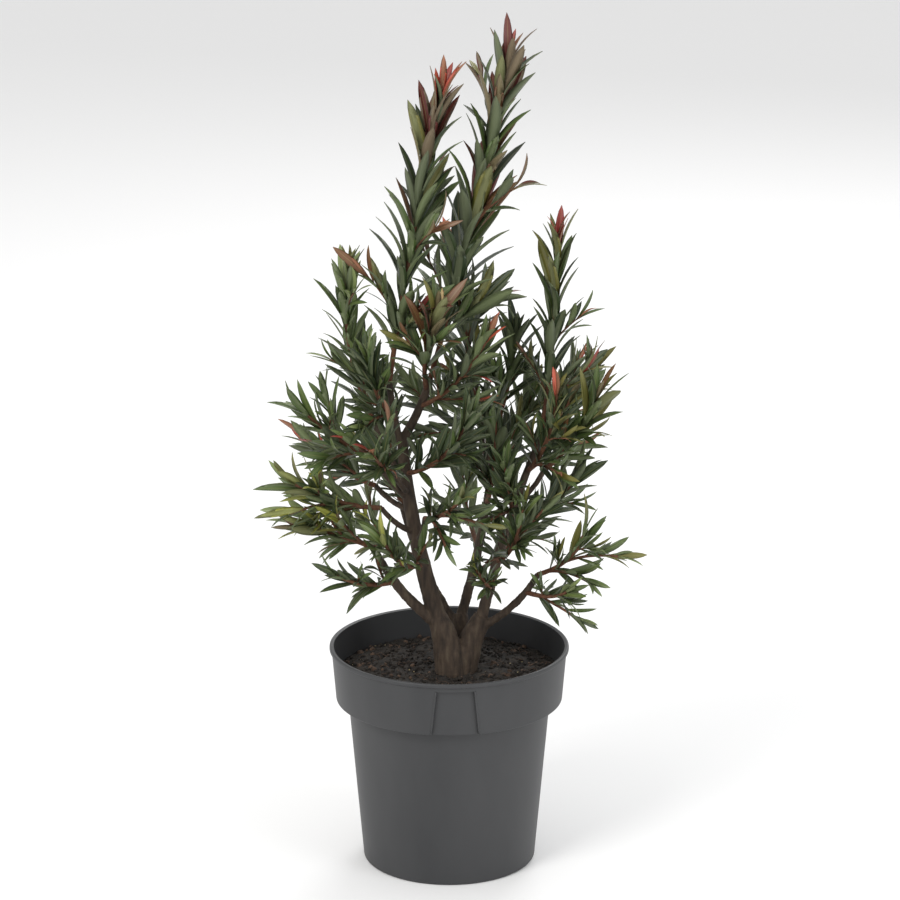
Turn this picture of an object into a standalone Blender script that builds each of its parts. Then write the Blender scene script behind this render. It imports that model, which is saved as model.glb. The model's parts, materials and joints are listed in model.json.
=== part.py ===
"""A potted bottlebrush: a young shrub of several stems in a round nursery pot.

Metres, +Z up. The origin is the middle of the pot's flat underside, and -Y is the shrub's front.
The wood is a short trunk, its stems and their boughs. Every mass of leaves is one twiggy shoot
that starts at a bough's tip or on the side of a stem and grows by the same seeded rule.
"""

import math
import random
from collections import namedtuple

import bmesh
import bpy
from mathutils import Matrix, Vector
from mathutils.bvhtree import BVHTree

MM = 0.001
CLEAR = 0.3 * MM  # the gap between neighbouring solids

# Pot, in millimetres: radii outside, heights above the underside
BASE_RADIUS = 65.2
BODY_TOP_RADIUS = 76.1
COLLAR_LOW_RADIUS = 85.3
COLLAR_HIGH_RADIUS = 88.4
RIM_RADIUS = 90.0
RIM_HEIGHT = 168.5
RIM_ROLL = 3.4  # height of the rolled bead at the rim
COLLAR_FOOT = 127.0  # height of the step under the collar
WALL = 1.8
FLOOR = 2.5
POT_STEPS = 48
LABEL_TURN = 3.0  # degrees to the right of the front
LABEL_TOP = 162.0
LABEL_HALF_TOP = 14.3
LABEL_HALF_LOW = 17.8
LABEL_DEPTH = 2.4
LABEL_BACK = 1.6  # thickness of the wall behind the label panel
LABEL_SPREAD = 2.0  # how far that wall runs past the panel's edges
DRAIN_RADIUS = 5.0
DRAIN_CIRCLE = 49.0
DRAINS = 8

# Soil, in millimetres
SOIL_TOP = 148.0
SOIL_EDGE_DROP = 3.0
SOIL_STEPS = 36

# Leaves and twigs
TURN = math.radians(137.5)  # the turn round the twig from each leaf to the next
LEAF_WIDTH = 0.36  # of the leaf's length
LEAF_THICK = 0.030
LEAF_BELLY = 0.45  # where the leaf is widest
LEAF_ARCH = 0.05  # how far its belly stands above the line from root to tip
ROOT_SINK = 2.5 * MM  # how far down its twig's middle a leaf's root starts
LEAF_SPACE = 0.5 * MM  # the least gap between a leaf and another mass or a limb
BLADE_START = 0.10  # the share of a leaf at its root that may run through its own neighbours
OPEN_LOW = math.radians(52)  # angle between leaf and twig at the foot of a shoot
OPEN_TIP = math.radians(17)
LIFT = 0.22  # how far a leaf turns up to the light
TWIST = 0.9  # how far a leaf may be turned on its own axis, in radians
BARE = 0.10  # share of a shoot's length that carries no leaves
TWIG_FOOT = 2.0 * MM
TWIG_TIP = 1.3 * MM
SIDE_LENGTH = 42 * MM
SIDE_FIRST = 0.12  # where along its shoot the first side twig starts
SIDE_NEXT = 0.3  # and how much further the next
CROWDING = 0.9  # below 1, leaves stand closer towards the tip
FOOT_LEAF = 0.75  # a leaf at the very foot of a shoot is this share of its full length
SIDE_LEAF = 0.9  # a side twig's leaf against its shoot's
LEAST_LEAVES = 4  # on a side twig
TRIES = 6  # how often a leaf is turned or shortened to clear its neighbours
SEED = 7

Limb = namedtuple("Limb", "name parent at tip bow thick")
Shoot = namedtuple("Shoot", "name limb at tip bow leaf leaves sides")

# The trunk's three legs fuse into one foot: name, foot, tip, bow, radii at foot, waist and tip
LEGS = (
    ("left", (2, -5), (-9, -5, 192), (3, 0, 0), (14.0, 11.5, 7.6)),
    ("right", (8, -1), (25, 1, 190), (-3, 0, 0), (12.5, 10.5, 6.6)),
    ("rear", (5, 4), (9, 17, 186), (0, -2, 0), (11.5, 9.5, 5.6)),
)
LEG_SINK = 12.0  # how far a leg runs on below the soil before it is cut flat there

# Stems and boughs, in millimetres: what each springs from and where along it, its tip,
# how far its middle bows out, and its radii at foot and tip
LIMBS = (
    Limb("stem_main", "left", 0.97, (-35, 0, 331), (-4, -2, 0), (7.0, 3.9)),
    Limb("stem_left", "left", 0.86, (-56, -18, 250), (-4, 0, -3), (4.6, 2.8)),
    Limb("stem_right", "right", 0.97, (68, 14, 326), (-2, 0, 3), (4.4, 2.4)),
    Limb("stem_rear_right", "rear", 0.97, (34, 37, 322), (4, 2, 0), (4.0, 2.3)),
    Limb("stem_rear_left", "rear", 0.80, (-36, 54, 262), (-4, 2, -5), (3.6, 2.4)),
    Limb("stem_low_right", "right", 0.80, (66, -14, 228), (4, 0, -3), (3.4, 2.2)),
    Limb("bough_tall_right", "stem_main", 0.98, (-14, -6, 376), (1, 0, -2), (3.5, 2.8)),
    Limb("bough_tall_left", "stem_main", 0.88, (-44, -8, 374), (-1, 0, 1), (2.7, 2.3)),
    Limb("bough_left_high", "stem_main", 0.76, (-56, -4, 344), (-2, 0, -2), (2.4, 2.0)),
    Limb("bough_left_middle", "stem_main", 0.66, (-54, -14, 317), (-1, 0, -2), (2.3, 1.9)),
    Limb("bough_left_rear", "stem_main", 0.60, (-55, 16, 288), (-1, 2, -3), (2.3, 1.9)),
    Limb("bough_left_low", "stem_main", 0.48, (-50, -18, 281), (-1, -2, -2), (2.4, 1.9)),
    Limb("bough_front", "stem_main", 0.70, (-41, -28, 313), (0, -3, -2), (2.3, 1.9)),
    Limb("bough_front_low", "stem_main", 0.44, (-18, -28, 276), (1, -3, -2), (2.3, 1.9)),
    Limb("bough_right", "stem_right", 0.62, (70, 4, 303), (1, -1, -2), (2.3, 1.9)),
    Limb("bough_rear_high", "stem_rear_right", 0.80, (22, 60, 328), (-1, 3, -2), (2.4, 1.9)),
    Limb("bough_rear_right", "stem_rear_right", 0.50, (52, 50, 276), (1, 2, -2), (2.4, 1.9)),
)

# Leafy shoots, in millimetres: tip of the woody part, leaf lengths at foot and tip
SHOOTS = (
    Shoot("tall_right", "bough_tall_right", 1.0, (43, 0, 609), (2, 0, 0), (60, 54), 40, 1),
    Shoot("tall_left", "bough_tall_left", 1.0, (-6, -12, 584), (-2, 0, 0), (54, 54), 34, 1),
    Shoot("right_high", "stem_right", 1.0, (79, 18, 470), (3, 0, 0), (46, 46), 24, 1),
    Shoot("left_high", "bough_left_high", 1.0, (-74, -8, 454), (-8, 0, 2), (44, 40), 24, 1),
    Shoot("right_spray", "bough_right", 1.0, (108, -11, 362), (3, 0, -3), (44, 44), 16, 1),
    Shoot("left_middle", "bough_left_middle", 1.0, (-108, -36, 362), (0, 0, -4), (40, 38), 18, 2),
    Shoot("left_low", "bough_left_low", 1.0, (-112, -48, 308), (0, 0, -4), (42, 42), 18, 2),
    Shoot("left_foot", "stem_left", 1.0, (-108, -26, 268), (0, 0, 2), (40, 40), 16, 2),
    Shoot("left_rear", "bough_left_rear", 1.0, (-104, 38, 314), (0, 0, -4), (38, 36), 16, 1),
    Shoot("front_rosette", "bough_front", 1.0, (-54, -88, 342), (0, -2, -3), (40, 38), 16, 2),
    Shoot("front_low", "bough_front_low", 1.0, (8, -82, 306), (0, -3, -3), (38, 34), 16, 2),
    Shoot("right_red", "stem_right", 0.80, (78, -42, 374), (3, -6, -5), (40, 40), 14, 1),
    Shoot("middle_red", "bough_tall_right", 0.60, (28, -38, 416), (2, -6, -6), (42, 36), 18, 1),
    Shoot("middle_bronze", "bough_tall_right", 0.85, (-10, -40, 430), (-4, -6, 0), (50, 48), 12, 0),
    Shoot("middle_rear", "stem_rear_right", 0.84, (2, 34, 452), (0, 8, 0), (48, 44), 16, 1),
    Shoot("middle_left", "bough_tall_left", 0.5, (-58, -44, 398), (-2, -6, -4), (42, 40), 16, 1),
    Shoot("middle_dark", "stem_rear_right", 1.0, (50, 44, 396), (2, 2, 0), (46, 42), 16, 1),
    Shoot("middle_right", "stem_main", 0.80, (14, -48, 356), (3, -8, -6), (42, 40), 18, 1),
    Shoot("centre_middle", "stem_rear_right", 0.62, (34, -14, 352), (2, -8, -4), (42, 40), 18, 1),
    Shoot("right_inner", "stem_right", 0.55, (40, -50, 322), (2, -4, -4), (40, 38), 16, 1),
    Shoot("centre_rear", "stem_rear_right", 0.70, (62, 76, 344), (2, 4, -5), (42, 40), 16, 1),
    Shoot("right_olive", "stem_right", 0.90, (104, 36, 374), (2, 3, -6), (42, 38), 16, 1),
    Shoot("right_middle", "stem_right", 0.46, (97, 10, 300), (3, 0, -6), (40, 38), 18, 2),
    Shoot("right_low", "stem_low_right", 1.0, (99, -30, 264), (5, -2, -3), (38, 36), 16, 2),
    Shoot("right_foot", "stem_low_right", 0.74, (86, -50, 226), (2, -4, -2), (34, 32), 10, 1),
    Shoot("front_right", "stem_right", 0.30, (54, -52, 290), (2, -6, -6), (38, 36), 16, 2),
    Shoot("front_left", "stem_main", 0.30, (-46, -66, 268), (-2, -6, -5), (38, 36), 16, 2),
    Shoot("front_foot", "stem_left", 0.62, (-82, -54, 240), (0, -4, -3), (34, 30), 12, 1),
    Shoot("centre_foot", "stem_right", 0.16, (20, -46, 242), (3, -6, -3), (28, 26), 10, 0),
    Shoot("rear_left_high", "stem_rear_left", 1.0, (-66, 80, 372), (-4, 4, -2), (44, 40), 20, 2),
    Shoot("rear_left_low", "stem_rear_left", 0.60, (-88, 72, 256), (-2, 4, -4), (38, 36), 16, 2),
    Shoot("rear_high", "bough_rear_high", 1.0, (2, 88, 446), (0, 6, 0), (46, 44), 20, 2),
    Shoot("rear_middle", "bough_rear_high", 0.60, (-30, 108, 340), (-2, 4, -5), (40, 38), 16, 2),
    Shoot("rear_low", "stem_rear_right", 0.38, (10, 106, 272), (-2, 6, -5), (38, 36), 16, 2),
    Shoot("rear_right", "bough_rear_right", 1.0, (96, 80, 362), (2, 3, -3), (42, 40), 18, 2),
    Shoot("rear_right_low", "stem_rear_right", 0.22, (84, 92, 256), (2, 4, -4), (38, 36), 16, 2),
    Shoot("core_left", "stem_main", 0.50, (-50, 44, 356), (-3, 8, -4), (40, 38), 16, 1),
)

COLOURS = {
    "pot": (0.045, 0.046, 0.048, 0.55),
    "soil": (0.018, 0.014, 0.011, 0.95),
    "wood": (0.090, 0.055, 0.038, 0.85),
    "leaves": (0.070, 0.130, 0.035, 0.45),
}


def mm(values):
    """A point or a vector given in millimetres."""
    return Vector(values) * MM


class Line:
    """A bowed line from a foot to a tip, with a radius that changes along it."""

    def __init__(self, foot, tip, bow, radii):
        self.foot = foot
        self.tip = tip
        self.bow = bow
        self.radii = radii

    def point(self, share):
        return self.foot.lerp(self.tip, share) + self.bow * 4 * share * (1 - share)

    def heading(self, share):
        return (self.tip - self.foot + self.bow * 4 * (1 - 2 * share)).normalized()

    def radius(self, share):
        step = share * (len(self.radii) - 1)
        low = min(int(step), len(self.radii) - 2)
        return self.radii[low] + (self.radii[low + 1] - self.radii[low]) * (step - low)

    def length(self):
        return (self.tip - self.foot).length


def material(name):
    """A plain Principled material in the sub-part's colour."""
    red, green, blue, roughness = COLOURS[name]
    made = bpy.data.materials.new(name)
    made.use_nodes = True
    shader = made.node_tree.nodes["Principled BSDF"]
    shader.inputs["Base Color"].default_value = (red, green, blue, 1)
    shader.inputs["Roughness"].default_value = roughness
    return made


def clear_scene():
    for old in list(bpy.data.objects):
        bpy.data.objects.remove(old, do_unlink=True)


def new_collection(name):
    made = bpy.data.collections.new(name)
    bpy.context.scene.collection.children.link(made)
    return made


def add_object(name, data, home):
    made = bpy.data.objects.new(name, data)
    home.objects.link(made)
    return made


def as_mesh(obj, home):
    """Turns a curve, or an object with modifiers, into a plain welded mesh object of the same name."""
    bpy.context.view_layer.update()
    graph = bpy.context.evaluated_depsgraph_get()
    mesh = bpy.data.meshes.new_from_object(obj.evaluated_get(graph))
    shape = bmesh.new()
    shape.from_mesh(mesh)
    bmesh.ops.remove_doubles(shape, verts=shape.verts, dist=0.002 * MM)
    if shape.calc_volume(signed=True) < 0:
        bmesh.ops.reverse_faces(shape, faces=shape.faces)
    shape.to_mesh(mesh)
    shape.free()
    name = obj.name
    place = obj.matrix_world.copy()
    bpy.data.objects.remove(obj, do_unlink=True)
    made = add_object(name, mesh, home)
    made.matrix_world = place
    return made


def combine(obj, other, operation, home):
    """Joins another object, or every object of a collection, to this one or cuts it away."""
    join = obj.modifiers.new(operation.lower(), "BOOLEAN")
    join.operation = operation
    join.solver = "EXACT"
    if isinstance(other, bpy.types.Collection):
        join.operand_type = "COLLECTION"
        join.collection = other
        used = list(other.objects)
    else:
        join.object = other
        used = [other]
    made = as_mesh(obj, home)
    for spent in used:
        bpy.data.objects.remove(spent, do_unlink=True)
    return made


def shells(shape):
    """The separate closed shells of a bmesh, each as a set of its faces."""
    left = set(shape.faces)
    found = []
    while left:
        shell = set()
        edge = [left.pop()]
        while edge:
            face = edge.pop()
            shell.add(face)
            for side in face.edges:
                for beside in side.link_faces:
                    if beside in left:
                        left.remove(beside)
                        edge.append(beside)
        found.append(shell)
    return found


def shell_volume(shell):
    total = 0.0
    for face in shell:
        first = face.verts[0].co
        for before, after in zip(face.verts[1:], face.verts[2:]):
            total += first.dot(before.co.cross(after.co)) / 6
    return total


def keep_largest(obj):
    """Drops loose scraps and fills sealed hollows, by keeping only the largest outer shell."""
    shape = bmesh.new()
    shape.from_mesh(obj.data)
    found = shells(shape)
    if len(found) > 1:
        kept = max(found, key=lambda shell: abs(shell_volume(shell)))
        bmesh.ops.delete(shape, geom=[face for face in shape.faces if face not in kept], context="FACES")
        loose = [corner for corner in shape.verts if not corner.link_faces]
        bmesh.ops.delete(shape, geom=loose, context="VERTS")
        shape.to_mesh(obj.data)
    shape.free()


def turned(name, profile, steps, home):
    """A turned solid from a profile of (radius, height) points in millimetres, outer side going down."""
    mesh = bpy.data.meshes.new(name)
    corners = [mm((radius, 0, height)) for radius, height in profile]
    closed = profile[0][0] > 0 or profile[-1][0] > 0
    edges = [(place, place + 1) for place in range(len(corners) - 1)]
    if closed:
        edges.append((len(corners) - 1, 0))
    mesh.from_pydata(corners, edges, [])
    made = add_object(name, mesh, home)
    screw = made.modifiers.new("turn", "SCREW")
    screw.axis = "Z"
    screw.steps = steps
    screw.render_steps = steps
    screw.use_merge_vertices = True
    screw.merge_threshold = 0.01 * MM
    return as_mesh(made, home)


def tube(name, line, sides, steps, home, grown=0.0, section=None):
    """A tapering tube along a bowed line, from a curve with filled caps. Grown makes it stouter."""
    curve = bpy.data.curves.new(name, "CURVE")
    curve.dimensions = "3D"
    curve.use_fill_caps = True
    if section is None:
        curve.bevel_depth = 1.0
        curve.bevel_resolution = sides // 2 - 2
    else:
        curve.bevel_mode = "OBJECT"
        curve.bevel_object = section
    spline = curve.splines.new("POLY")
    spline.points.add(steps)
    for place, knot in enumerate(spline.points):
        share = place / steps
        spot = line.point(share)
        if place == 0:
            spot = spot - line.heading(0) * grown
        if place == steps:
            spot = spot + line.heading(1) * grown
        knot.co = (*spot, 1)
        knot.radius = line.radius(share) + grown
    made = as_mesh(add_object(name, curve, home), home)
    shape = bmesh.new()
    shape.from_mesh(made.data)
    bmesh.ops.recalc_face_normals(shape, faces=shape.faces)
    shape.to_mesh(made.data)
    shape.free()
    return made


def block(name, size, centre, home):
    """A box from its size and centre, in metres."""
    mesh = bpy.data.meshes.new(name)
    shape = bmesh.new()
    bmesh.ops.create_cube(shape, size=1.0)
    bmesh.ops.scale(shape, vec=size, verts=shape.verts)
    bmesh.ops.translate(shape, vec=centre, verts=shape.verts)
    shape.to_mesh(mesh)
    shape.free()
    return add_object(name, mesh, home)


def finish(obj, home, look, name):
    """Puts a finished solid in the part's collection under its own name, with its material."""
    for place in list(obj.users_collection):
        place.objects.unlink(obj)
    home.objects.link(obj)
    obj.name = name
    obj.data.name = name
    obj.data.materials.clear()
    obj.data.materials.append(look)
    return obj


def body_radius(height):
    """The outer radius of the pot's body at a height, in millimetres."""
    return BASE_RADIUS + (BODY_TOP_RADIUS - BASE_RADIUS) * height / COLLAR_FOOT


def collar_radius(height):
    """The outer radius of the pot's collar at a height, in millimetres."""
    rise = (height - COLLAR_FOOT) / (RIM_HEIGHT - RIM_ROLL - COLLAR_FOOT)
    return COLLAR_LOW_RADIUS + (COLLAR_HIGH_RADIUS - COLLAR_LOW_RADIUS) * rise


def inner_profile(gap):
    """The pot's inner wall from rim to floor as (radius, height) points, moved inwards by a gap."""
    step = COLLAR_FOOT + WALL
    return [
        (collar_radius(RIM_HEIGHT) - WALL - gap, RIM_HEIGHT),
        (collar_radius(step) - WALL - gap, step + gap),
        (body_radius(step) - WALL - gap, step + gap),
        (body_radius(FLOOR) - WALL - gap, FLOOR + gap),
    ]


def label_block(name, grow, low, home):
    """A block round the label panel's place on the collar, narrower at its top."""
    top = LABEL_TOP + grow
    tall = top - low
    made = block(name, mm((2, 40, tall)), mm((0, -90, low + tall / 2)), home)
    for corner in made.data.vertices:
        half = LABEL_HALF_LOW if corner.co.z < (low + tall / 2) * MM else LABEL_HALF_TOP
        corner.co.x *= half + grow
    made.data.transform(Matrix.Rotation(math.radians(LABEL_TURN), 4, "Z"))
    return made


def make_pot(scratch):
    """The hollow pot: tapered body, wider collar with a rolled rim, label panel and drain holes."""
    bead = RIM_HEIGHT - RIM_ROLL
    outside = [
        (RIM_RADIUS - 0.8, RIM_HEIGHT),
        (RIM_RADIUS, RIM_HEIGHT - 0.8),
        (RIM_RADIUS, bead + 1.0),
        (collar_radius(bead), bead),
        (COLLAR_LOW_RADIUS, COLLAR_FOOT + 0.8),
        (COLLAR_LOW_RADIUS - 0.8, COLLAR_FOOT),
        (body_radius(COLLAR_FOOT), COLLAR_FOOT),
        (body_radius(1.5), 1.5),
        (BASE_RADIUS - 1.5, 0),
        (0, 0),
    ]
    inside = [(0, FLOOR)] + inner_profile(0)[::-1]
    pot = turned("pot", outside + inside, POT_STEPS, scratch)
    low = COLLAR_FOOT + 0.3
    panel = [(collar_radius(height) - LABEL_DEPTH, height) for height in (LABEL_TOP, low)]
    back_ring = [(radius + 1, height) for radius, height in panel]
    back_ring += [(radius - LABEL_BACK, height) for radius, height in panel[::-1]]
    backing = turned("label_back", back_ring, POT_STEPS, scratch)
    piece = label_block("back_block", LABEL_SPREAD, low - 4, scratch)
    backing = combine(backing, piece, "INTERSECT", scratch)
    pot = combine(pot, backing, "UNION", scratch)
    face = [panel[0], (panel[1][0], COLLAR_FOOT - 3)]
    air_ring = [(radius + 9, height) for radius, height in face] + face[::-1]
    air = turned("label_air", air_ring, POT_STEPS, scratch)
    air = combine(air, label_block("air_block", 0.0, COLLAR_FOOT - 6, scratch), "INTERSECT", scratch)
    pot = combine(pot, air, "DIFFERENCE", scratch)
    for turn in range(DRAINS):
        angle = 2 * math.pi * (turn + 0.5) / DRAINS
        mesh = bpy.data.meshes.new("drain")
        shape = bmesh.new()
        bmesh.ops.create_cone(
            shape,
            cap_ends=True,
            segments=12,
            radius1=DRAIN_RADIUS * MM,
            radius2=DRAIN_RADIUS * MM,
            depth=4 * FLOOR * MM,
        )
        spot = mm((DRAIN_CIRCLE * math.cos(angle), DRAIN_CIRCLE * math.sin(angle), FLOOR / 2))
        bmesh.ops.translate(shape, vec=spot, verts=shape.verts)
        shape.to_mesh(mesh)
        shape.free()
        pot = combine(pot, add_object("drain", mesh, scratch), "DIFFERENCE", scratch)
    return pot


def make_soil(scratch):
    """The potting mix: a turned plug that fills the pot, a little lower along the wall."""
    gap = CLEAR / MM
    wall = inner_profile(gap)
    edge_height = SOIL_TOP - SOIL_EDGE_DROP
    rise = (edge_height - wall[1][1]) / (wall[0][1] - wall[1][1])
    edge_radius = wall[1][0] + (wall[0][0] - wall[1][0]) * rise
    profile = [(0, SOIL_TOP), (edge_radius * 0.55, SOIL_TOP), (edge_radius * 0.85, SOIL_TOP - 1)]
    profile += [(edge_radius, edge_height)] + wall[1:] + [(0, wall[-1][1])]
    soil = turned("soil", profile, SOIL_STEPS, scratch)
    reach = LABEL_HALF_LOW + LABEL_SPREAD + 1.0
    behind = math.sqrt((collar_radius(COLLAR_FOOT) - LABEL_DEPTH - LABEL_BACK) ** 2 - reach**2) - gap
    notch = block("notch", mm((2 * reach, 40, 80)), mm((0, -behind - 20, SOIL_TOP)), scratch)
    notch.data.transform(Matrix.Rotation(math.radians(LABEL_TURN), 4, "Z"))
    return combine(soil, notch, "DIFFERENCE", scratch)


def leg_line(foot, tip, bow, radii):
    start = mm((*foot, SOIL_TOP - LEG_SINK))
    return Line(start, mm(tip), mm(bow), [radius * MM for radius in radii])


def make_trunk(legs, grown, scratch):
    """The fused legs of the trunk, cut flat at the soil. Grown makes a stouter copy to cut with."""
    trunk = None
    for name, line in legs.items():
        leg = tube("trunk_" + name, line, 10, 6, scratch, grown)
        trunk = leg if trunk is None else combine(trunk, leg, "UNION", scratch)
    level = SOIL_TOP * MM + (CLEAR if grown == 0 else -CLEAR)
    ground = block("ground", mm((80, 80, 40)), Vector((0, 0, level - 20 * MM)), scratch)
    return combine(trunk, ground, "DIFFERENCE", scratch)


class Taken:
    """The space that solids already hold, tested shape against shape."""

    def __init__(self):
        self.pieces = []

    def add(self, owner, corners, faces, inner=None):
        """Holds a solid. Its own shoot is kept off only the inner shape, where one is given."""
        middle = sum(corners, Vector()) / len(corners)
        reach = max((corner - middle).length for corner in corners)
        whole = BVHTree.FromPolygons(corners, faces)
        near = BVHTree.FromPolygons(inner, faces) if inner else whole
        self.pieces.append((owner, middle, reach, whole, near))

    def add_object(self, owner, obj):
        corners = [obj.matrix_world @ corner.co for corner in obj.data.vertices]
        self.add(owner, corners, [tuple(face.vertices) for face in obj.data.polygons])

    def touched(self, corners, faces, own, others_only):
        """True where a shape meets one that is held, by its own shoot or only by other owners."""
        middle = sum(corners, Vector()) / len(corners)
        reach = max((corner - middle).length for corner in corners)
        tree = BVHTree.FromPolygons(corners, faces)
        for owner, centre, radius, whole, near in self.pieces:
            if others_only == (owner == own):
                continue
            held = whole if others_only else near
            if (centre - middle).length < reach + radius and tree.overlap(held):
                return True
        return False


def leaf_shape(length, grown, start):
    """Corners and faces of a leaf along +Y, its upper side to +Z, with a keel below.

    Grown makes it stouter by a margin, and start cuts off that share of it at the root.
    """
    shape = bmesh.new()
    bmesh.ops.create_cone(shape, cap_ends=True, segments=3, radius1=1.0, radius2=1.0, depth=1.0)
    upper = [corner for corner in shape.verts if corner.co.z > 0]
    ends = [face for face in shape.faces if len(face.verts) == 3]
    tip_face = next(face for face in ends if face.calc_center_median().z > 0)
    tip = bmesh.ops.poke(shape, faces=[tip_face])["verts"][0]
    half_width = LEAF_WIDTH * length / 2
    half_thick = LEAF_THICK * length / 2
    for corner in shape.verts:
        if corner is tip:
            continue
        side = round(corner.co.x)
        share = 1.0 if corner in upper else start / LEAF_BELLY
        wide = half_width * share + grown
        thick = half_thick * share + grown
        level = LEAF_ARCH * length * share + (thick if side else -thick)
        corner.co = (side * wide, LEAF_BELLY * length * share, level)
    tip.co = (0, length + grown, -LEAF_ARCH * length)
    bmesh.ops.remove_doubles(shape, verts=shape.verts, dist=0.01 * MM)
    bmesh.ops.recalc_face_normals(shape, faces=shape.faces)
    shape.verts.index_update()
    corners = [corner.co.copy() for corner in shape.verts]
    faces = [tuple(corner.index for corner in face.verts) for face in shape.faces]
    shape.free()
    return corners, faces


def leaf_place(root, heading, face_to, twist):
    """The matrix that sets a leaf's root, direction and upper side."""
    across = heading.cross(face_to).normalized()
    upper = across.cross(heading).normalized()
    turn = Matrix((across, heading, upper)).transposed().to_4x4()
    return Matrix.Translation(root) @ turn @ Matrix.Rotation(twist, 4, "Y")


def moved(corners, place):
    return [place @ corner for corner in corners]


def side_of(heading, angle):
    """The direction square to a twig at an angle round it."""
    first = heading.cross(Vector((0.13, 0.97, 0.21))).normalized()
    second = heading.cross(first)
    return first * math.cos(angle) + second * math.sin(angle)


def grow_leaf(twig, share, angle, length, chance, owner, taken):
    """One leaf on a twig as a placed shape, or nothing where every try would touch something."""
    for attempt in range(TRIES):
        loose = 0.15 + 0.12 * attempt
        turn = angle + chance.uniform(-loose, loose)
        opened = OPEN_LOW + (OPEN_TIP - OPEN_LOW) * share ** 0.8
        opened *= chance.uniform(1 - loose, 1 + loose)
        size = length * chance.uniform(0.88, 1.08) * (1 - 0.04 * attempt)
        along = twig.heading(share)
        out = side_of(along, turn)
        heading = along * math.cos(opened) + out * math.sin(opened)
        heading = (heading + Vector((0, 0, LIFT * math.sin(opened)))).normalized()
        twist = chance.uniform(-TWIST, TWIST)
        root = twig.point(share) - along * ROOT_SINK
        place = leaf_place(root, heading, along + Vector((0, 0, 0.3)), twist)
        wide, faces = leaf_shape(size, LEAF_SPACE, 0.0)
        if taken.touched(moved(wide, place), faces, owner, True):
            continue
        blade, faces = leaf_shape(size, CLEAR / 3, BLADE_START)
        if taken.touched(moved(blade, place), faces, owner, False):
            continue
        solid, faces = leaf_shape(size, 0.0, 0.0)
        return moved(solid, place), faces, moved(blade, place)
    return None


def leaf_counts(shoot, twigs):
    """How many leaves each twig of a shoot carries, in keeping with its length."""
    whole = sum(twig.length() for twig in twigs)
    sides = [max(LEAST_LEAVES, round(shoot.leaves * twig.length() / whole)) for twig in twigs[1:]]
    return [shoot.leaves - sum(sides)] + sides


def grow_shoot(shoot, twigs, taken, bits):
    """Adds a shoot's leaves, spiralling down each of its twigs, to the collection of its bits."""
    chance = random.Random(SEED + sum(ord(letter) for letter in shoot.name))
    low, high = (size * MM for size in shoot.leaf)
    for twig, count in zip(twigs, leaf_counts(shoot, twigs)):
        for number in reversed(range(count)):
            share = BARE + (1 - BARE) * ((number + 1) / count) ** CROWDING
            length = (low + (high - low) * share) * min(1, FOOT_LEAF + share)
            if twig is not twigs[0]:
                length *= SIDE_LEAF
            grown = grow_leaf(twig, share, number * TURN, length, chance, shoot.name, taken)
            if grown is None:
                continue
            corners, faces, blade = grown
            mesh = bpy.data.meshes.new("leaf")
            mesh.from_pydata(corners, [], faces)
            add_object("leaf", mesh, bits)
            taken.add(shoot.name, corners, faces, blade)


def side_twigs(shoot, stem, chance):
    """The side twigs of a shoot: short lines that leave its stem and turn up beside it."""
    made = []
    for number in range(shoot.sides):
        share = SIDE_FIRST + SIDE_NEXT * number
        start = stem.point(share)
        along = stem.heading(share)
        out = side_of(along, chance.uniform(0, 2 * math.pi))
        heading = (along * 0.75 + out * 0.65 + Vector((0, 0, 0.2))).normalized()
        tip = start + heading * SIDE_LENGTH
        bow = -out * SIDE_LENGTH * 0.08
        made.append(Line(start, tip, bow, (TWIG_TIP * 1.1, TWIG_TIP * 0.85)))
    return made


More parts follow.
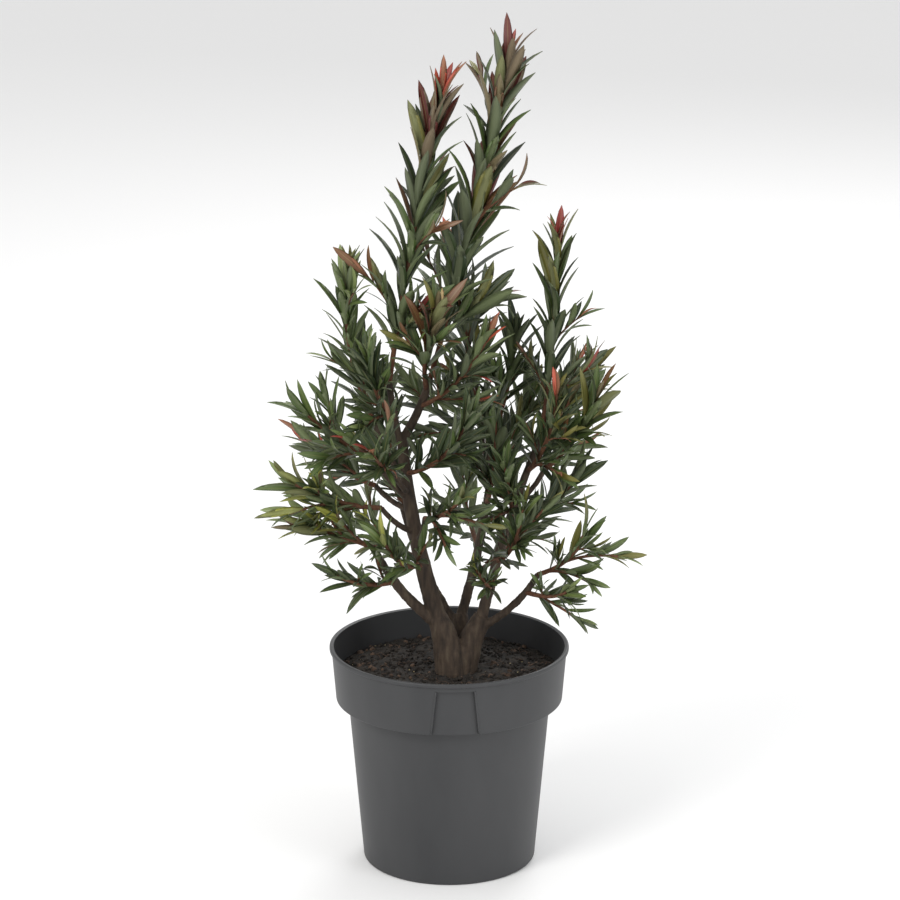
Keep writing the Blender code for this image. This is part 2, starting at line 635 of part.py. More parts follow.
def main():
    clear_scene()
    part = new_collection("potted_bottlebrush")
    scratch = new_collection("cutters")
    scratch.hide_render = True
    looks = {name: material(name) for name in COLOURS}
    finish(make_pot(scratch), part, looks["pot"], "pot")
    finish(make_soil(scratch), part, looks["soil"], "soil")

    lines = {name: leg_line(*sizes) for name, *sizes in LEGS}
    legs = dict(lines)
    taken = Taken()
    trunk = finish(make_trunk(legs, 0.0, scratch), part, looks["wood"], "trunk")
    taken.add_object("trunk", trunk)
    for limb in LIMBS:
        parent = lines[limb.parent]
        radii = [radius * MM for radius in limb.thick]
        line = Line(parent.point(limb.at), mm(limb.tip), mm(limb.bow), radii)
        lines[limb.name] = line
    for limb in LIMBS:
        solid = tube(limb.name, lines[limb.name], 8, 4, scratch)
        older = make_trunk(legs, CLEAR, scratch)
        solid = combine(solid, older, "DIFFERENCE", scratch)
        for other in LIMBS[: LIMBS.index(limb)]:
            if limb.parent in (other.name, other.parent):
                cutter = tube("cutter", lines[other.name], 8, 4, scratch, CLEAR)
                solid = combine(solid, cutter, "DIFFERENCE", scratch)
        keep_largest(solid)
        finish(solid, part, looks["wood"], limb.name)
        taken.add_object(limb.name, solid)

    section = bpy.data.curves.new("twig_section", "CURVE")
    ring = section.splines.new("POLY")
    ring.points.add(2)
    ring.use_cyclic_u = True
    for place, knot in enumerate(ring.points):
        angle = 2 * math.pi * place / 3
        knot.co = (math.cos(angle), math.sin(angle), 0, 1)
    guide = add_object("twig_section", section, scratch)
    guide.hide_render = True
    guide.display_type = "WIRE"

    grown = []
    for shoot in SHOOTS:
        parent = lines[shoot.limb]
        stem = Line(parent.point(shoot.at), mm(shoot.tip), mm(shoot.bow), (TWIG_FOOT, TWIG_TIP))
        wood = tube(shoot.name, stem, 3, 4, scratch, section=guide)
        wood = combine(wood, make_trunk(legs, CLEAR, scratch), "DIFFERENCE", scratch)
        if shoot.limb not in legs:
            cutter = tube("cutter", parent, 8, 4, scratch, CLEAR)
            wood = combine(wood, cutter, "DIFFERENCE", scratch)
        keep_largest(wood)
        taken.add_object(shoot.name, wood)
        grown.append((shoot, stem, wood))
    for shoot, stem, wood in grown:
        bits = new_collection("bits")
        chance = random.Random(SEED + len(shoot.name))
        twigs = [stem]
        for line in side_twigs(shoot, stem, chance):
            twig = tube("side", line, 3, 2, scratch, section=guide)
            corners = [corner.co for corner in twig.data.vertices]
            faces = [tuple(face.vertices) for face in twig.data.polygons]
            if taken.touched(corners, faces, shoot.name, True):
                bpy.data.objects.remove(twig, do_unlink=True)
                continue
            taken.add_object(shoot.name, twig)
            scratch.objects.unlink(twig)
            bits.objects.link(twig)
            twigs.append(line)
        grow_shoot(shoot, twigs, taken, bits)
        wood = combine(wood, bits, "UNION", scratch)
        keep_largest(wood)
        finish(wood, part, looks["leaves"], "mass_" + shoot.name)
        bpy.data.collections.remove(bits)
    bpy.data.objects.remove(guide, do_unlink=True)


main()
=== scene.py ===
"""Looks of the potted bottlebrush: pot, potting mix, bark, and twigs and leaves grown by one rule.

Metres, +Z up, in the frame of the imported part. Tables of sizes are in millimetres.
"""

import json
import math
import random
from collections import namedtuple

import bmesh
import bpy
import numpy as np
from mathutils import Matrix, Vector, noise

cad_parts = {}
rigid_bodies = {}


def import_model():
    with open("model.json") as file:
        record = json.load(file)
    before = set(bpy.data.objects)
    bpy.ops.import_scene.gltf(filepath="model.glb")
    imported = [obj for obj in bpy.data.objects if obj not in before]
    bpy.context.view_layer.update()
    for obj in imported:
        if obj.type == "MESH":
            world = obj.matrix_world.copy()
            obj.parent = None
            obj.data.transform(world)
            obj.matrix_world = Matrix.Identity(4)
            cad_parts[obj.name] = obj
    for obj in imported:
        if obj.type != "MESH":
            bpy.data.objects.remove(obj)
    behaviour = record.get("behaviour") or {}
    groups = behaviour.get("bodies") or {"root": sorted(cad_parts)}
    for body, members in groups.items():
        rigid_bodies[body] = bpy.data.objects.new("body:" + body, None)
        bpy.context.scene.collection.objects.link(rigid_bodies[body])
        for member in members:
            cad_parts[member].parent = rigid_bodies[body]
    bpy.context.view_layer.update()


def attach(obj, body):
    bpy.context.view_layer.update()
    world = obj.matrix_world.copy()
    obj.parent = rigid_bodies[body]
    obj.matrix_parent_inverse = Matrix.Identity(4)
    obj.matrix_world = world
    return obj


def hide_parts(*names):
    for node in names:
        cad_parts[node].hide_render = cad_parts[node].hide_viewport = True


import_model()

MM = 0.001

# Camera, in metres, from a fit of the pot's ellipses
CAMERA_PLACE = (0.0006, -2.4811, 1.0421)
CAMERA_DOWN = 0.2831  # radians below the horizon
SENSOR = 36.0
LENS = 139.7
CLIP_START = 0.05

# Stage, in metres and watts: name, place, aim, size, power and colour of each lamp
FLOOR_SIZE = 12
SKY_STRENGTH = 0.85
LAMPS = (
    ("key", (-1.5, -1.8, 2.2), (0, 0, 0.3), 1.2, 42, (1, 0.985, 0.96)),
    ("fill", (1.9, -1.4, 1.2), (0, 0, 0.3), 1.4, 16, (0.97, 0.985, 1)),
    ("back", (0.6, 2.0, 1.8), (0, 0, 0.35), 1.2, 18, (1, 1, 1)),
)

# Pot, in millimetres: radii outside, heights above the underside
BASE_RADIUS = 65.2
BODY_TOP_RADIUS = 76.1
COLLAR_LOW_RADIUS = 85.3
COLLAR_HIGH_RADIUS = 88.4
RIM_RADIUS = 90.0
RIM_HEIGHT = 168.5
RIM_ROLL = 3.4
COLLAR_FOOT = 127.0
WALL = 1.8
FLOOR = 2.5
RIM_ROUND = 1.1
RIM_INNER_DROP = 0.6
BEAD_ROUND = 0.8
BEAD_LIFT = 1.0
BEAD_NECK = 0.4
COLLAR_ROUND = 1.0
STEP_ROUND = 0.8
BASE_ROUND = 2.2
POT_STEPS = 160
SHARP_FROM = math.radians(32)
LABEL_TURN = 3.0
LABEL_TOP = 162.0
LABEL_HALF_TOP = 14.3
LABEL_HALF_LOW = 17.8
LABEL_DEPTH = 2.4
LABEL_BACK = 1.6
LABEL_SPREAD = 2.0
LABEL_FOOT = COLLAR_FOOT + 0.3
LIP_RADIUS = 0.75
LIP_SINK = 0.25
LIP_STEPS = 8
DRAIN_RADIUS = 5.0
DRAIN_CIRCLE = 49.0
DRAINS = 8

# Potting mix, in millimetres
SOIL_TOP = 148.0
SOIL_EDGE_DROP = 3.0
SOIL_GAP = 0.4
SOIL_RINGS = 60
SOIL_TURNS = 150
SOIL_LUMPS = ((0.09, 1.6), (0.3, 1.0), (0.9, 0.6))  # scale and height of each noise
LABEL_HALF_ANGLE = math.radians(17)
LABEL_CLEARANCE = 1.2
CRUMBS = 1500
CHIPS = 110
GRAINS = 26
FIBRES = 70
FIBRE_STEPS = 6
FIBRE_RADIUS = 0.22
FIBRE_RISE = 1.4

# Bark relief, in millimetres, with noise scales per metre
LEG_SINK = 12.0
LIMB_SIDES = 16
LIMB_STEP = 3.0
BARK_VOXEL = 0.62
GRAIN_ACROSS = 520
GRAIN_ALONG = 90
GRAIN_DEPTH = 0.55
KNOT_SCALE = 120
KNOT_DEPTH = 0.6
FINE_SCALE = 900
FINE_DEPTH = 0.22
SMOOTH_FROM = 0.30  # height in metres where the relief has faded
FADE = 0.12
LEAST_RELIEF = 0.3

# Leaves and twigs
TURN = math.radians(137.5)
OPEN_LOW = math.radians(50)
OPEN_TIP = math.radians(16)
LIFT = 0.22
TWIST = 0.8
BARE = 0.08
CROWDING = 0.9
TWIG_FOOT = 2.0 * MM
TWIG_TIP = 1.1 * MM
SIDE_LENGTH = 42 * MM
SIDE_FIRST = 0.12
SIDE_NEXT = 0.3
SEED = 7
LEAF_WIDTH = 0.27  # of the leaf's length, before the outline narrows it
LEAF_ROWS = 8
LEAF_COLUMNS = (-1.0, -0.55, -0.06, 0.06, 0.55, 1.0)
LEAF_FOOT = 0.10
LEAF_TIP = 0.03
LEAF_BACK = -0.05
FOLDS = (0.10, 0.45)
ARCHES = (0.01, 0.07)
CURLS = (-0.02, 0.12)
FULLER = 2.1  # leaves here for each leaf of the part
FINE_LEAVES = 7
FINE_SIZE = 0.62
SIDE_SIZE = 0.85
LOW_SHARE = 0.3  # below this share of a twig the leaves are smaller
TIP_SHARE = 0.9  # above this share of a twig the leaves are young
END_FROM = 0.93  # shares of a twig where the tints change
HIGH_FROM = 0.72
MIXED_FROM = 0.45

Limb = namedtuple("Limb", "name parent at tip bow thick")
Shoot = namedtuple("Shoot", "name limb at tip bow leaf leaves sides low high end")

# The trunk's legs: name, foot, tip, bow and radii
LEGS = (
    ("left", (2, -5), (-9, -5, 192), (3, 0, 0), (14.0, 11.5, 7.6)),
    ("right", (8, -1), (25, 1, 190), (-3, 0, 0), (12.5, 10.5, 6.6)),
    ("rear", (5, 4), (9, 17, 186), (0, -2, 0), (11.5, 9.5, 5.6)),
)

LIMBS = (
    Limb("stem_main", "left", 0.97, (-35, 0, 331), (-4, -2, 0), (7.0, 3.9)),
    Limb("stem_left", "left", 0.86, (-56, -18, 250), (-4, 0, -3), (4.6, 2.8)),
    Limb("stem_right", "right", 0.97, (68, 14, 326), (-2, 0, 3), (4.4, 2.4)),
    Limb("stem_rear_right", "rear", 0.97, (34, 37, 322), (4, 2, 0), (4.0, 2.3)),
    Limb("stem_rear_left", "rear", 0.80, (-36, 54, 262), (-4, 2, -5), (3.6, 2.4)),
    Limb("stem_low_right", "right", 0.80, (66, -14, 228), (4, 0, -3), (3.4, 2.2)),
    Limb("bough_tall_right", "stem_main", 0.98, (-14, -6, 376), (1, 0, -2), (3.5, 2.8)),
    Limb("bough_tall_left", "stem_main", 0.88, (-44, -8, 374), (-1, 0, 1), (2.7, 2.3)),
    Limb("bough_left_high", "stem_main", 0.76, (-56, -4, 344), (-2, 0, -2), (2.4, 2.0)),
    Limb("bough_left_middle", "stem_main", 0.66, (-54, -14, 317), (-1, 0, -2), (2.3, 1.9)),
    Limb("bough_left_rear", "stem_main", 0.60, (-55, 16, 288), (-1, 2, -3), (2.3, 1.9)),
    Limb("bough_left_low", "stem_main", 0.48, (-50, -18, 281), (-1, -2, -2), (2.4, 1.9)),
    Limb("bough_front", "stem_main", 0.70, (-41, -28, 313), (0, -3, -2), (2.3, 1.9)),
    Limb("bough_front_low", "stem_main", 0.44, (-18, -28, 276), (1, -3, -2), (2.3, 1.9)),
    Limb("bough_right", "stem_right", 0.62, (70, 4, 303), (1, -1, -2), (2.3, 1.9)),
    Limb("bough_rear_high", "stem_rear_right", 0.80, (22, 60, 328), (-1, 3, -2), (2.4, 1.9)),
    Limb("bough_rear_right", "stem_rear_right", 0.50, (52, 50, 276), (1, 2, -2), (2.4, 1.9)),
)

# The part's shoots, with the tints of their old leaves, upper leaves and very tips
SHOOTS = (
    Shoot("tall_right", "bough_tall_right", 1.0, (43, 0, 609), (2, 0, 0), (60, 54), 40, 1,
          "deep", "bronze", "maroon"),
    Shoot("tall_left", "bough_tall_left", 1.0, (-6, -12, 584), (-2, 0, 0), (54, 54), 34, 1,
          "deep", "bronze", "coral"),
    Shoot("right_high", "stem_right", 1.0, (79, 18, 470), (3, 0, 0), (46, 46), 24, 1,
          "deep", "olive", "crimson"),
    Shoot("left_high", "bough_left_high", 1.0, (-74, -8, 454), (-8, 0, 2), (44, 40), 24, 1,
          "mid", "pale", "lime"),
    Shoot("right_spray", "bough_right", 1.0, (108, -11, 362), (3, 0, -3), (44, 44), 16, 1,
          "mid", "olive", "bronze"),
    Shoot("left_middle", "bough_left_middle", 1.0, (-108, -36, 362), (0, 0, -4), (40, 38), 18, 2,
          "mid", "mid", "pale"),
    Shoot("left_low", "bough_left_low", 1.0, (-112, -48, 308), (0, 0, -4), (42, 42), 18, 2,
          "mid", "lime", "olive"),
    Shoot("left_foot", "stem_left", 1.0, (-108, -26, 268), (0, 0, 2), (40, 40), 16, 2,
          "mid", "lime", "bronze"),
    Shoot("left_rear", "bough_left_rear", 1.0, (-104, 38, 314), (0, 0, -4), (38, 36), 16, 1,
          "deep", "mid", "coral"),
    Shoot("front_rosette", "bough_front", 1.0, (-54, -88, 342), (0, -2, -3), (40, 38), 16, 2,
          "deep", "mid", "crimson"),
    Shoot("front_low", "bough_front_low", 1.0, (8, -82, 306), (0, -3, -3), (38, 34), 16, 2,
          "deep", "mid", "olive"),
    Shoot("right_red", "stem_right", 0.80, (78, -42, 374), (3, -6, -5), (40, 40), 14, 1,
          "deep", "olive", "coral"),
    Shoot("middle_red", "bough_tall_right", 0.60, (28, -38, 416), (2, -6, -6), (42, 36), 18, 1,
          "deep", "mid", "coral"),
    Shoot("middle_bronze", "bough_tall_right", 0.85, (-10, -40, 430), (-4, -6, 0), (50, 48), 12, 0,
          "mid", "bronze", "tan"),
    Shoot("middle_rear", "stem_rear_right", 0.84, (2, 34, 452), (0, 8, 0), (48, 44), 16, 1,
          "deep", "deep", "mid"),
    Shoot("middle_left", "bough_tall_left", 0.5, (-58, -44, 398), (-2, -6, -4), (42, 40), 16, 1,
          "deep", "mid", "pale"),
    Shoot("middle_dark", "stem_rear_right", 1.0, (50, 44, 396), (2, 2, 0), (46, 42), 16, 1,
          "deep", "deep", "mid"),
    Shoot("middle_right", "stem_main", 0.80, (14, -48, 356), (3, -8, -6), (42, 40), 18, 1,
          "deep", "deep", "mid"),
    Shoot("centre_middle", "stem_rear_right", 0.62, (34, -14, 352), (2, -8, -4), (42, 40), 18, 1,
          "deep", "deep", "mid"),
    Shoot("right_inner", "stem_right", 0.55, (40, -50, 322), (2, -4, -4), (40, 38), 16, 1,
          "deep", "mid", "mid"),
    Shoot("centre_rear", "stem_rear_right", 0.70, (62, 76, 344), (2, 4, -5), (42, 40), 16, 1,
          "deep", "mid", "olive"),
    Shoot("right_olive", "stem_right", 0.90, (104, 36, 374), (2, 3, -6), (42, 38), 16, 1,
          "deep", "olive", "bronze"),
    Shoot("right_middle", "stem_right", 0.46, (97, 10, 300), (3, 0, -6), (40, 38), 18, 2,
          "deep", "mid", "mid"),
    Shoot("right_low", "stem_low_right", 1.0, (99, -30, 264), (5, -2, -3), (38, 36), 16, 2,
          "mid", "olive", "pale"),
    Shoot("right_foot", "stem_low_right", 0.74, (86, -50, 226), (2, -4, -2), (34, 32), 10, 1,
          "deep", "mid", "pale"),
    Shoot("front_right", "stem_right", 0.30, (54, -52, 290), (2, -6, -6), (38, 36), 16, 2,
          "deep", "mid", "olive"),
    Shoot("front_left", "stem_main", 0.30, (-46, -66, 268), (-2, -6, -5), (38, 36), 16, 2,
          "mid", "mid", "lime"),
    Shoot("front_foot", "stem_left", 0.62, (-82, -54, 240), (0, -4, -3), (34, 30), 12, 1,
          "deep", "mid", "mid"),
    Shoot("centre_foot", "stem_right", 0.16, (20, -46, 242), (3, -6, -3), (28, 26), 10, 0,
          "deep", "mid", "lime"),
    Shoot("rear_left_high", "stem_rear_left", 1.0, (-66, 80, 372), (-4, 4, -2), (44, 40), 20, 2,
          "deep", "mid", "bronze"),
    Shoot("rear_left_low", "stem_rear_left", 0.60, (-88, 72, 256), (-2, 4, -4), (38, 36), 16, 2,
          "mid", "lime", "olive"),
    Shoot("rear_high", "bough_rear_high", 1.0, (2, 88, 446), (0, 6, 0), (46, 44), 20, 2,
          "deep", "olive", "crimson"),
    Shoot("rear_middle", "bough_rear_high", 0.60, (-30, 108, 340), (-2, 4, -5), (40, 38), 16, 2,
          "deep", "mid", "pale"),
    Shoot("rear_low", "stem_rear_right", 0.38, (10, 106, 272), (-2, 6, -5), (38, 36), 16, 2,
          "deep", "mid", "lime"),
    Shoot("rear_right", "bough_rear_right", 1.0, (96, 80, 362), (2, 3, -3), (42, 40), 18, 2,
          "deep", "mid", "coral"),
    Shoot("rear_right_low", "stem_rear_right", 0.22, (84, 92, 256), (2, 4, -4), (38, 36), 16, 2,
          "deep", "mid", "olive"),
    Shoot("core_left", "stem_main", 0.50, (-50, 44, 356), (-3, 8, -4), (40, 38), 16, 1,
          "deep", "deep", "mid"),
)

# Tints of the upper side of a leaf, as linear base colours, and the neighbours it may vary to
TINTS = {
    "deep": (0.040, 0.062, 0.022),
    "dark": (0.026, 0.043, 0.017),
    "mid": (0.075, 0.115, 0.032),
    "fresh": (0.105, 0.150, 0.042),
    "pale": (0.190, 0.240, 0.085),
    "olive": (0.150, 0.145, 0.035),
    "lime": (0.290, 0.300, 0.050),
    "bronze": (0.150, 0.070, 0.030),
    "maroon": (0.120, 0.030, 0.024),
    "crimson": (0.250, 0.030, 0.022),
    "coral": (0.430, 0.080, 0.045),
    "tan": (0.420, 0.290, 0.120),
}
VARIES = {
    "deep": ("deep", "deep", "dark", "mid"),
    "dark": ("dark",),
    "mid": ("mid", "mid", "fresh", "deep"),
    "fresh": ("fresh", "mid"),
    "pale": ("pale", "fresh", "pale"),
    "olive": ("olive", "mid", "olive"),
    "lime": ("lime", "pale", "olive", "lime"),
    "bronze": ("bronze", "olive", "bronze", "maroon"),
    "maroon": ("maroon", "maroon", "crimson"),
    "crimson": ("crimson", "crimson", "coral"),
    "coral": ("coral", "coral", "crimson"),
    "tan": ("tan", "bronze"),
}


def mm(values):
    """A point or a vector given in millimetres."""
    return Vector(values) * MM


class Line:
    """A bowed line from a foot to a tip, with a radius that changes along it."""

    def __init__(self, foot, tip, bow, radii):
        self.foot = foot
        self.tip = tip
        self.bow = bow
        self.radii = radii

    def point(self, share):
        return self.foot.lerp(self.tip, share) + self.bow * 4 * share * (1 - share)

    def heading(self, share):
        return (self.tip - self.foot + self.bow * 4 * (1 - 2 * share)).normalized()

    def radius(self, share):
        step = share * (len(self.radii) - 1)
        low = min(int(step), len(self.radii) - 2)
        return self.radii[low] + (self.radii[low + 1] - self.radii[low]) * (step - low)

    def length(self):
        return (self.tip - self.foot).length


def side_of(heading, angle):
    """The direction square to a twig at an angle round it."""
    first = heading.cross(Vector((0.13, 0.97, 0.21))).normalized()
    second = heading.cross(first)
    return first * math.cos(angle) + second * math.sin(angle)


def new_material(name, colour, roughness):
    """A Principled material with plain values, and its tree and shader to build on."""
    made = bpy.data.materials.new(name)
    made.use_nodes = True
    tree = made.node_tree
    shader = tree.nodes["Principled BSDF"]
    shader.inputs["Base Color"].default_value = (*colour, 1)
    shader.inputs["Roughness"].default_value = roughness
    return made, tree, shader


def noise_node(tree, scale, detail, stretch=(1, 1, 1)):
    """A noise in the object's own coordinates."""
    place = tree.nodes.new("ShaderNodeTexCoord")
    mapping = tree.nodes.new("ShaderNodeMapping")
    mapping.inputs["Scale"].default_value = stretch
    pattern = tree.nodes.new("ShaderNodeTexNoise")
    pattern.inputs["Scale"].default_value = scale
    pattern.inputs["Detail"].default_value = detail
    tree.links.new(place.outputs["Object"], mapping.inputs["Vector"])
    tree.links.new(mapping.outputs["Vector"], pattern.inputs["Vector"])
    return pattern


def ramp_colour(tree, source, shader, stops):
    """Colours a shader by a noise, through some (place, colour) stops."""
    ramp = tree.nodes.new("ShaderNodeValToRGB")
    while len(ramp.color_ramp.elements) < len(stops):
        ramp.color_ramp.elements.new(0.5)
    for element, (place, colour) in zip(ramp.color_ramp.elements, stops):
        element.position = place
        element.color = (*colour, 1)
    tree.links.new(source.outputs["Fac"], ramp.inputs["Fac"])
    tree.links.new(ramp.outputs["Color"], shader.inputs["Base Color"])


def bump(tree, source, shader, strength, distance):
    """Gives a shader a fine relief from a noise."""
    relief = tree.nodes.new("ShaderNodeBump")
    relief.inputs["Strength"].default_value = strength
    relief.inputs["Distance"].default_value = distance
    tree.links.new(source.outputs["Fac"], relief.inputs["Height"])
    tree.links.new(relief.outputs["Normal"], shader.inputs["Normal"])


def pot_material():
    made, tree, shader = new_material("pot_plastic", (0.030, 0.031, 0.033), 0.5)
    cloud = noise_node(tree, 18, 4, (1, 1, 0.35))
    stops = (
        (0.3, (0.024, 0.025, 0.027)),
        (0.75, (0.040, 0.041, 0.043)),
    )
    ramp_colour(tree, cloud, shader, stops)
    grain = noise_node(tree, 900, 2)
    bump(tree, grain, shader, 0.12, 0.0004)
    return made


def soil_material(name, dark, light):
    made, tree, shader = new_material(name, dark, 0.95)
    cloud = noise_node(tree, 260, 6)
    ramp_colour(tree, cloud, shader, ((0.35, dark), (0.7, light)))
    bump(tree, cloud, shader, 0.6, 0.001)
    return made


def bark_material(name, stops, scale):
    made, tree, shader = new_material(name, stops[0][1], 0.85)
    streak = noise_node(tree, scale, 8, (1, 1, 0.22))
    ramp_colour(tree, streak, shader, stops)
    bump(tree, streak, shader, 0.5, 0.0008)
    return made


def blend(colour, other, share):
    """A colour with a share of another one in it."""
    return tuple(value * (1 - share) + light * share for value, light in zip(colour, other))


def leaf_materials(tint):
    """The three materials of a leaf in a tint: upper side, midrib and paler underside."""
    colour = TINTS[tint]
    upper, _, shader = new_material("leaf_" + tint, colour, 0.42)
    shader.inputs["Specular IOR Level"].default_value = 0.45
    shader.inputs["Coat Weight"].default_value = 0.12
    shader.inputs["Coat Roughness"].default_value = 0.35
    warm = (0.30, 0.26, 0.10)
    middle, _, _ = new_material("rib_" + tint, blend(colour, warm, 0.38), 0.5)
    grey = (0.200, 0.225, 0.125)
    under, _, _ = new_material("under_" + tint, blend(colour, grey, 0.45), 0.6)
    return upper, middle, under


def place_piece(obj, nodes):
    """Sets a finished piece in place: it rides on the only body and hides the nodes it stands for."""
    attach(obj, "root")
    if nodes:
        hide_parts(*nodes)


def add_object(name, mesh):
    """An object with this mesh, in the scene."""
    made = bpy.data.objects.new(name, mesh)
    bpy.context.scene.collection.objects.link(made)
    return made


def applied(obj):
    """Turns an object with modifiers into a plain mesh of the same name."""
    bpy.context.view_layer.update()
    graph = bpy.context.evaluated_depsgraph_get()
    mesh = bpy.data.meshes.new_from_object(obj.evaluated_get(graph))
    name = obj.name
    bpy.data.objects.remove(obj, do_unlink=True)
    return add_object(name, mesh)


def combine(obj, other, operation):
    """Joins two solids by a Boolean operation, and keeps the first one's name."""
    join = obj.modifiers.new("join", "BOOLEAN")
    join.operation = operation
    join.solver = "MANIFOLD"
    join.object = other
    made = applied(obj)
    bpy.data.objects.remove(other, do_unlink=True)
    return made


def turned(name, profile, steps):
    """A turned solid from a closed profile of (radius, height) points in millimetres."""
    mesh = bpy.data.meshes.new(name)
    corners = [mm((radius, 0, height)) for radius, height in profile]
    edges = [(place, place + 1) for place in range(len(corners) - 1)]
    if profile[0][0] > 0:
        edges.append((len(corners) - 1, 0))
    mesh.from_pydata(corners, edges, [])
    made = add_object(name, mesh)
    screw = made.modifiers.new("turn", "SCREW")
    screw.axis = "Z"
    screw.steps = steps
    screw.render_steps = steps
    screw.use_merge_vertices = True
    screw.merge_threshold = 0.01 * MM
    return applied(made)


def body_radius(height):
    """The pot's outside radius below its collar, in millimetres."""
    return BASE_RADIUS + (BODY_TOP_RADIUS - BASE_RADIUS) * height / COLLAR_FOOT


def collar_radius(height):
    """The collar's outside radius, in millimetres."""
    rise = (height - COLLAR_FOOT) / (RIM_HEIGHT - RIM_ROLL - COLLAR_FOOT)
    return COLLAR_LOW_RADIUS + (COLLAR_HIGH_RADIUS - COLLAR_LOW_RADIUS) * rise


def corner_arc(centre, radius, start, end, steps):
    """Points of a rounded corner in a profile, in millimetres and degrees."""
    found = []
    for step in range(steps + 1):
        angle = math.radians(start + (end - start) * step / steps)
        found.append((centre[0] + radius * math.cos(angle), centre[1] + radius * math.sin(angle)))
    return found


def label_block(name, grow, low):
    """A block round the label panel's place on the collar, narrower at its top."""
    top = LABEL_TOP + grow
    mesh = bpy.data.meshes.new(name)
    shape = bmesh.new()
    bmesh.ops.create_cube(shape, size=1.0)
    tall = (top - low) * MM
    bmesh.ops.scale(shape, vec=(2 * MM, 40 * MM, tall), verts=shape.verts)
    for corner in shape.verts:
        half = LABEL_HALF_TOP if corner.co.z > 0 else LABEL_HALF_LOW
        corner.co.x *= half + grow
    bmesh.ops.translate(shape, vec=(0, -RIM_RADIUS * MM, low * MM + tall / 2), verts=shape.verts)
    turn = Matrix.Rotation(math.radians(LABEL_TURN), 3, "Z")
    bmesh.ops.rotate(shape, matrix=turn, verts=shape.verts)
    shape.to_mesh(mesh)
    shape.free()
    return add_object(name, mesh)


def pot_profile():
    """The pot's closed profile: the outside from the rim down, then the inside up."""
    bead = RIM_HEIGHT - RIM_ROLL
    outside = corner_arc((RIM_RADIUS - RIM_ROUND, RIM_HEIGHT - RIM_ROUND), RIM_ROUND, 120, 0, 6)
    outside += corner_arc((RIM_RADIUS - BEAD_ROUND, bead + BEAD_LIFT), BEAD_ROUND, 0, -80, 4)
    outside += [(collar_radius(bead - BEAD_NECK), bead - BEAD_NECK)]
    collar_corner = (COLLAR_LOW_RADIUS - COLLAR_ROUND, COLLAR_FOOT + COLLAR_ROUND)
    outside += corner_arc(collar_corner, COLLAR_ROUND, 0, -90, 5)
    outside += [
        (body_radius(COLLAR_FOOT) + STEP_ROUND, COLLAR_FOOT),
        (body_radius(COLLAR_FOOT), COLLAR_FOOT - STEP_ROUND),
    ]
    outside += corner_arc((BASE_RADIUS - BASE_ROUND, BASE_ROUND), BASE_ROUND, 0, -90, 6)
    step = COLLAR_FOOT + WALL
    inside = [
        (0, 0),
        (0, FLOOR),
        (body_radius(FLOOR) - WALL, FLOOR),
        (body_radius(step) - WALL, step),
        (collar_radius(step) - WALL, step),
        (collar_radius(RIM_HEIGHT) - WALL, RIM_HEIGHT - RIM_INNER_DROP),
    ]
    return outside + inside


def cut_label(pot):
    """Sets a panel back into the collar, with a wall of its own behind it."""
    panel = [(collar_radius(height) - LABEL_DEPTH, height) for height in (LABEL_TOP, LABEL_FOOT)]
    back_ring = [(radius + 1, height) for radius, height in panel]
    back_ring += [(radius - LABEL_BACK, height) for radius, height in panel[::-1]]
    backing = turned("label_back", back_ring, POT_STEPS)
    backing = combine(backing, label_block("back_block", LABEL_SPREAD, LABEL_FOOT - 4), "INTERSECT")
    pot = combine(pot, backing, "UNION")
    face = [panel[0], (panel[1][0], COLLAR_FOOT - 3)]
    air_ring = [(radius + 9, height) for radius, height in face] + face[::-1]
    air = turned("label_air", air_ring, POT_STEPS)
    air = combine(air, label_block("air_block", 0.0, COLLAR_FOOT - 6), "INTERSECT")
    return combine(pot, air, "DIFFERENCE")


def cut_drain(pot, angle):
    """Cuts one drain hole through the pot's floor."""
    mesh = bpy.data.meshes.new("drain")
    shape = bmesh.new()
    radius = DRAIN_RADIUS * MM
    bmesh.ops.create_cone(
        shape, cap_ends=True, segments=32, radius1=radius, radius2=radius, depth=4 * FLOOR * MM
    )
    spot = mm((DRAIN_CIRCLE * math.cos(angle), DRAIN_CIRCLE * math.sin(angle), FLOOR / 2))
    bmesh.ops.translate(shape, vec=spot, verts=shape.verts)
    shape.to_mesh(mesh)
    shape.free()
    return combine(pot, add_object("drain", mesh), "DIFFERENCE")


def make_pot(look):
    """The pot with its rolled bead, rounded steps, label recess and drain holes."""
    pot = turned("pot_shell", pot_profile(), POT_STEPS)
    pot = cut_label(pot)
    for turn in range(DRAINS):
        pot = cut_drain(pot, 2 * math.pi * (turn + 0.5) / DRAINS)
    pot.data.shade_smooth()
    pot.data.set_sharp_from_angle(angle=SHARP_FROM)
    pot.data.materials.clear()
    pot.data.materials.append(look)
    place_piece(pot, ["pot"])


def make_label_lips(look):
    """The raised lips along the label recess, as rounded strips that lean outwards downwards."""
    shapes = []
    for side in (-1, 1):
        spots = []
        for step in range(LIP_STEPS + 1):
            share = step / LIP_STEPS
            height = LABEL_TOP - share * (LABEL_TOP - COLLAR_FOOT - 0.8)
            half = LABEL_HALF_TOP + (LABEL_HALF_LOW - LABEL_HALF_TOP) * share
            radius = collar_radius(height) - LIP_SINK
            angle = math.radians(LABEL_TURN) + side * math.asin(half / radius)
            spots.append(mm((radius * math.sin(angle), -radius * math.cos(angle), height)))
        shapes.append(tube_mesh(spots, [LIP_RADIUS * MM] * len(spots), 10))
    lips = joined("pot_label_lips", shapes)
    lips.data.materials.append(look)
    place_piece(lips, [])


